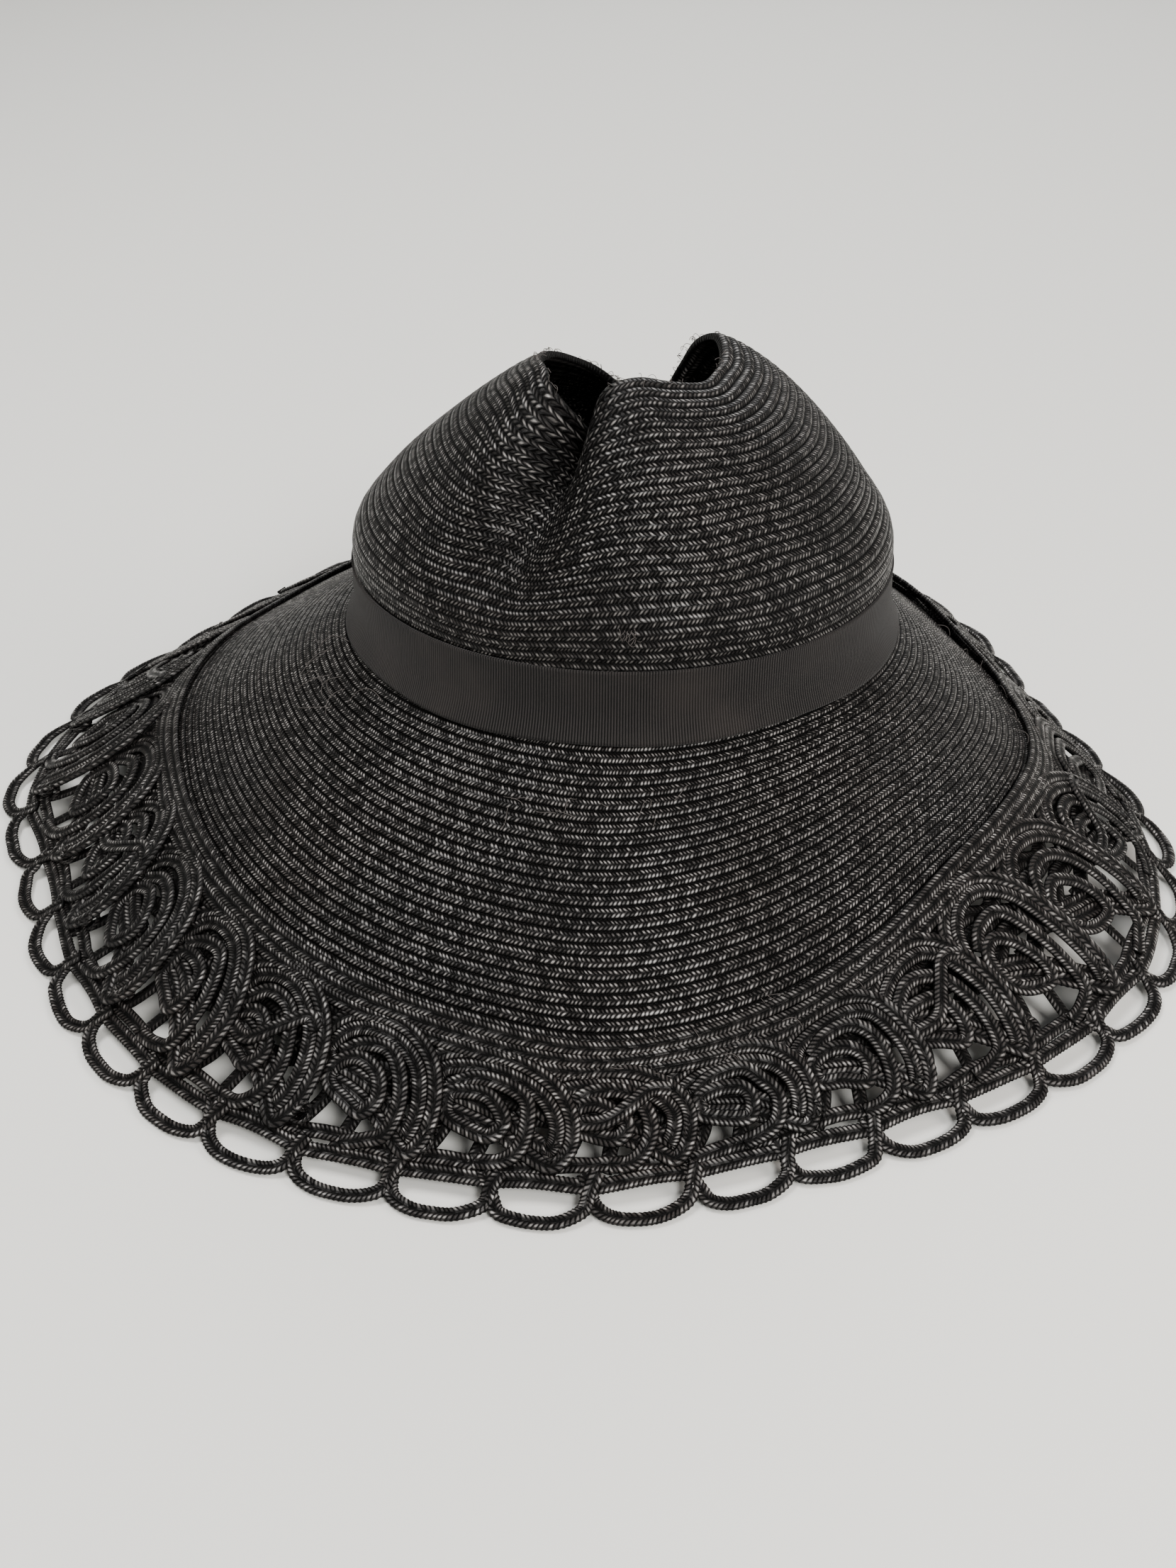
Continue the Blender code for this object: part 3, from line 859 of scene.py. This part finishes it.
def make_band(material):
    """Three overlapping flat braids over the join of straw and border."""
    parts = []
    middle, spread, lift = STAND_OFF
    for index, (outward, up) in enumerate(BAND_ROWS):
        def inward(azimuth):
            drift = 0.0003 * np.sin(np.radians(azimuth * (9 + 4 * index) + 50 * index))
            return tip_radius(azimuth) - straw_radius(azimuth) - outward + drift
        path = round_path(inward, up, samples=900)
        azimuth = path[..., 0]
        drift = 0.00025 * np.sin(np.radians(azimuth * (7 + 5 * index)))
        edge = 1.0 - outward / BAND_WIDTH
        path[..., 2] += lift * bell(azimuth, middle, spread) * edge + drift
        points, run = braid_paths(path, width=0.0044, thick=0.0016, tilt=-0.10, closed=True)
        parts.append((points, run, True))
    return strand_piece("band_braids", parts, material, "border_band")


# Loops of one motif: share of the pitch, share of the way to the band, height in mm.
# The left flank lies under the loop before, the right flank over the loop after.
OUTER_LOOP = [(-0.66, 0.54, 1.2), (-0.67, 0.70, 1.2), (-0.54, 0.91, 1.4), (-0.24, 1.03, 1.9),
              (0.12, 1.00, 2.8), (0.40, 0.80, 3.5), (0.53, 0.48, 3.7), (0.52, 0.14, 3.4),
              (0.40, -0.06, 2.8), (0.22, 0.08, 2.1), (-0.02, 0.28, 1.6), (-0.26, 0.37, 1.4),
              (-0.50, 0.44, 1.3)]
ARCH = [(-0.42, 0.64, 2.0), (-0.24, 0.77, 2.5), (0.00, 0.76, 3.0), (0.17, 0.60, 3.4),
        (0.23, 0.34, 3.4), (0.18, 0.08, 3.0), (0.04, -0.03, 2.2), (-0.12, -0.06, 1.8)]
MIDDLE_LOOP = [(-0.41, 0.46, 2.0), (-0.37, 0.58, 2.2), (-0.20, 0.63, 2.8), (-0.04, 0.54, 3.2),
               (0.04, 0.38, 3.4), (-0.03, 0.22, 3.2), (-0.22, 0.27, 2.6), (-0.37, 0.35, 2.1)]
BARS = [(-0.58, -0.12, 1.0), (-0.47, 0.04, 0.9), (-0.38, 0.26, 0.8), (-0.34, 0.60, 0.7)]
POSTS = [(-0.14, -0.14, 1.0), (-0.12, 0.02, 0.9), (-0.08, 0.22, 0.8), (-0.02, 0.5, 0.7)]
CROSS = [(-0.57, 0.52, 2.2), (-0.37, 0.42, 3.0), (-0.15, 0.44, 3.9), (0.06, 0.60, 4.2),
         (0.26, 0.76, 4.1), (0.42, 0.72, 3.9)]


def make_outer_loops(material):
    """Widest loop of each motif, with a second braid sewn along its inner side."""
    first = loops(OUTER_LOOP, 21, samples=160, width=0.0049, thick=0.0015, teeth=0.10)
    second = loops(OUTER_LOOP, 21, samples=100, width=0.0048, thick=0.0014, shift=0.0045)
    return strand_piece("outer_loops", [first, second], material, "lace_border")


def make_inner_loops(material):
    """Arch and nested loop of each motif, and a crossing braid on every third."""
    arch = loops(ARCH, 27, samples=70, width=0.0048, thick=0.0014, closed=False, wander=0.022)
    middle = loops(MIDDLE_LOOP, 31, samples=72, width=0.0048, thick=0.0014, wander=0.022)
    cross = loops(CROSS, 43, samples=48, width=0.0046, thick=0.0014, closed=False,
                  wander=0.025, keep=np.arange(PETALS) % 3 == 1)
    return strand_piece("inner_loops", [arch, middle, cross], material, "lace_border")


def make_under_loops(material):
    """Lower layer that closes the border beside the band, and short bars to the ring.

    The layer's rounds lie at growing shares of the lace's width and wave with its motifs.
    """
    parts = []
    for index, share in enumerate((0.46, 0.59, 0.72, 0.85, 0.99)):
        def inward(azimuth):
            place = 2 * np.pi * (azimuth / 360.0 * PETALS + 0.33 * index)
            wave = 0.045 * np.sin(place) + 0.02 * np.sin(place * 2 + 0.4 * np.pi)
            return LOOP_END + (share + wave) * lace_width(azimuth)
        path = round_path(inward, up=0.0001 + 0.0004 * (index % 2), samples=720)
        points, run = braid_paths(path, width=0.0064, thick=0.0012, closed=True, section=THIN)
        parts.append((points, run, True))
    for seed, keys in ((51, BARS), (54, POSTS)):
        parts.append(loops(keys, seed, samples=20, width=0.0044, thick=0.0012, closed=False,
                           section=THIN))
    return strand_piece("under_loops", parts, material, "lace_border")


def make_curls(material):
    """Small rolled ends by the ring, one between two motifs: a spiral of shrinking radius."""
    t = np.linspace(0.0, 2.6 * np.pi, 36)[None]
    index = np.arange(PETALS)[:, None]
    first = scatter(81, (PETALS, 1), 2.5)
    reach = 0.0036 - 0.00026 * t
    azimuth = (index + MOTIF_PLACE - 0.50) * 360.0 / PETALS + scatter(82, (PETALS, 1), 0.5)
    inward = 0.0215 + scatter(83, (PETALS, 1), 0.0009)
    azimuth = azimuth + np.degrees(reach * np.cos(t + first) / LACE_RADIUS)
    inward = inward + reach * np.sin(t + first)
    path = np.stack([azimuth, inward, 0.0018 + 0.00025 * t + 0 * azimuth], -1)
    points, run = braid_paths(path, width=0.0034, thick=0.0011, tilt=0.9)
    return strand_piece("rolled_ends", [(points, run, False)], material, "lace_border")


def arcs(base, normal, ahead, length, lift, radius):
    """Fine threads as four-sided tubes.

    Each runs ahead by its length, rises by lift * sin(pi t) and curls sideways by a sine
    whose start changes with its length.
    """
    t = np.linspace(0.0, 1.0, 12)[None, :, None]
    length, lift = length[:, None, None], lift[:, None, None]
    base, normal, ahead = base[:, None], normal[:, None], ahead[:, None]
    side = unit(np.cross(normal, ahead))
    line = (base + ahead * length * t + normal * (lift * np.sin(np.pi * t) + 0.0004)
            + side * (0.35 * length) * np.sin(2.6 * t + length * 900.0))
    way = unit(np.gradient(line, axis=1))
    x = unit(np.cross(way, normal))
    y = unit(np.cross(way, x))
    angle = np.arange(4) * np.pi / 2
    ring = x[:, :, None] * np.cos(angle)[:, None] + y[:, :, None] * np.sin(angle)[:, None]
    return line[:, :, None] + ring * radius


def on_brim(seed, count, low, high, near, far):
    """Seeded places on the brim: azimuth range and range of shares from crown to band."""
    azimuth = np.random.RandomState(seed).uniform(low, high, count)
    share = np.random.RandomState(seed + 1).uniform(near, far, count)
    start, end = crown_foot(azimuth), straw_radius(azimuth)
    radius = start + (end - start) * share
    up = np.full(count, STRAW_WALL + 0.0004)
    base = brim_point(azimuth, radius, up)
    return base, unit(base - brim_point(azimuth, radius, up - 1e-3))


def on_crown(seed, count, low, high, near, far):
    """Seeded places on the crown: azimuth range and range of shares of its height."""
    azimuth = np.random.RandomState(seed).uniform(low, high, count)
    share = np.random.RandomState(seed + 1).uniform(near, far, count)
    return crown_point(azimuth, share), crown_normal(azimuth, share)


def make_threads(material):
    """Loose threads and frayed ends left on the straw.

    Columns of the groups: places and normals, length, lift, thread radius.
    """
    groups = [(on_brim(101, 12, -178, -150, 0.16, 0.36), 0.011, 0.0022, 0.00013),
              (on_brim(103, 12, -112, -72, 0.24, 0.34), 0.005, 0.0012, 0.00010),
              (on_brim(105, 16, -86, -55, 0.97, 1.10), 0.006, 0.0014, 0.00010),
              (on_brim(107, 10, -10, 30, 0.97, 1.08), 0.006, 0.0014, 0.00010),
              (on_crown(109, 16, -91.5, -88.0, 0.255, 0.285), 0.0022, 0.0011, 0.00010),
              (on_crown(111, 60, -180, 180, 0.985, 1.0), 0.0022, 0.0009, 0.00009),
              (on_crown(113, 40, 40, 105, 0.975, 1.0), 0.0032, 0.0014, 0.00010)]
    points = []
    for index, ((base, normal), length, lift, radius) in enumerate(groups):
        count = len(base)
        random = np.random.RandomState(200 + index)
        flat = random.normal(size=(count, 3))
        ahead = unit(flat - normal * (flat * normal).sum(-1, keepdims=True))
        points.append(arcs(base, normal, ahead, length * random.uniform(0.5, 1.3, count),
                           lift * random.uniform(0.4, 1.5, count), radius))
    points = np.concatenate(points)
    m, n, k = points.shape[:3]
    quads = grid_quads(n, k, False, True)[0]
    ends = np.array([[3, 2, 1, 0], [n * k - 4, n * k - 3, n * k - 2, n * k - 1]])
    quads = np.concatenate([quads, ends])[None] + (np.arange(m) * n * k)[:, None, None]
    quads = quads.reshape(-1, 4)
    piece = make_mesh("loose_threads", points, quads, np.zeros((len(quads) * 4, 2)))
    piece.data.materials.append(material)
    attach(piece, "root")
    return piece


def thread_look():
    """Dull dark thread."""
    look = Look("loose_thread")
    look.set("Base Color", (0.050, 0.043, 0.040, 1.0))
    look.set("Roughness", 0.7)
    return look.material


# ---------------------------------------------------------------- scene

# In each look the dark colour is painted shade in the joins and hollows, and light and brown are
# the straw's own tones.
straw_crown = straw_look("crown_straw_rows", slant=0.9, joint=0.31,
                         dark_and_shade=(0.0010, 0.0009, 0.0010), light=(0.022, 0.0204, 0.0200),
                         brown=(0.027, 0.0224, 0.0207))
straw_brim = straw_look("brim_straw_rows", slant=0.8, joint=0.25,
                        dark_and_shade=(0.0010, 0.0009, 0.0009), light=(0.022, 0.0202, 0.0198),
                        brown=(0.030, 0.0244, 0.0222))
# A copy of the flat braid painted darker, with weaker painted glints, as painted shade for the
# lower layer under the loops.
shaded_braid = braid_look("shaded_braid", dark_and_shade=(0.0006, 0.0005, 0.0005),
                          light=(0.008, 0.0072, 0.0069), brown=(0.010, 0.0080, 0.0073),
                          shine=0.25)
braid = braid_look("flat_braid", dark_and_shade=(0.0009, 0.0008, 0.0008),
                   light=(0.021, 0.0190, 0.0184), brown=(0.029, 0.0236, 0.0215))

make_crown(straw_crown)
make_brim(straw_brim)
make_ribbon(ribbon_look())
make_band(braid)
make_scallops(braid)
make_ring(braid)
make_outer_loops(braid)
make_inner_loops(braid)
make_under_loops(shaded_braid)
make_curls(braid)
make_threads(thread_look())


def make_floor():
    """Plain pale floor that turns up all round.

    Profile turned about Z: flat, then a quarter circle, then straight up. Strips across
    the innermost ring close the middle.
    """
    flat, curve, top, rings, spokes = 1.8, 1.2, 2.2, 12, 96
    bend = np.linspace(0.0, np.pi / 2, 17)[1:]
    reach = np.concatenate([np.linspace(0.02, flat, rings), flat + curve * np.sin(bend),
                            [flat + curve]])
    rise = np.concatenate([np.zeros(rings), curve * (1.0 - np.cos(bend)), [top]])
    angle = np.linspace(0.0, 2 * np.pi, spokes, endpoint=False)[:, None]
    points = np.stack([reach * np.cos(angle), reach * np.sin(angle), rise + 0 * angle], -1)
    quads = grid_quads(spokes, len(reach), True, False, flip=True)[0]
    step = np.arange(spokes // 2 - 1)[:, None]
    middle = np.hstack([step, step + 1, spokes - 2 - step, spokes - 1 - step]) * len(reach)
    quads = np.concatenate([quads, middle])
    floor = make_mesh("floor", points - SHIFT, quads, np.zeros((len(quads) * 4, 2)))
    look = Look("floor_paint")
    look.set("Base Color", (0.72, 0.72, 0.69, 1.0))
    look.set("Roughness", 0.8)
    floor.data.materials.append(look.material)


# Lamps. Columns: name, place, point aimed at, size, power in watts, colour.
LAMPS = (("key", (0.45, -1.15, 1.05), (0, -0.05, 0.05), 0.45, 26.0, (1.0, 0.98, 0.95)),
         ("top", (-0.60, 0.00, 1.50), (0, 0, 0.08), 0.7, 24.0, (1.0, 0.98, 0.96)),
         ("fill", (1.2, -0.5, 1.0), (0, 0, 0.08), 0.7, 17.0, (1.0, 0.92, 0.87)),
         ("back", (0.3, 1.4, 1.2), (0, 0, 0.1), 0.8, 16.0, (1.0, 1.0, 1.0)))


def make_light(name, place, aim, size, power, colour):
    """Soft square lamp turned toward a point."""
    lamp = bpy.data.lights.new(name, "AREA")
    lamp.size = size
    lamp.energy = power
    lamp.color = colour
    held = bpy.data.objects.new(name, lamp)
    held.location = place
    way = np.array(aim, float) - np.array(place, float)
    tilt = math.atan2(math.hypot(way[0], way[1]), -way[2])
    held.rotation_euler = (tilt, 0.0, math.atan2(way[1], way[0]) - math.pi / 2)
    bpy.context.scene.collection.objects.link(held)


# Camera fitted to the photograph: place, degrees below level, and the focal length and
# picture height in pixels.
CAMERA_PLACE = (0.0040, -0.5231, 0.387)
CAMERA_DOWN = 36.2
FOCAL_LENGTH = 2500.0
PICTURE_HEIGHT = 2212.0


def make_camera():
    """Camera at the photograph's viewing angle."""
    data = bpy.data.cameras.new("camera")
    data.sensor_fit = "VERTICAL"
    data.sensor_height = 36.0
    data.lens = FOCAL_LENGTH / PICTURE_HEIGHT * data.sensor_height
    data.clip_start = 0.01
    held = bpy.data.objects.new("camera", data)
    held.location = CAMERA_PLACE
    held.rotation_euler = (math.radians(90.0 - CAMERA_DOWN), 0.0, 0.0)
    bpy.context.scene.collection.objects.link(held)
    bpy.context.scene.camera = held


def make_world():
    """Even, slightly cool light from all round."""
    world = bpy.data.worlds.new("studio")
    world.use_nodes = True
    background = world.node_tree.nodes["Background"]
    background.inputs["Color"].default_value = (0.95, 0.97, 1.0, 1.0)
    background.inputs["Strength"].default_value = 0.27
    bpy.context.scene.world = world


make_floor()
for lamp_row in LAMPS:
    make_light(*lamp_row)
make_world()
make_camera()
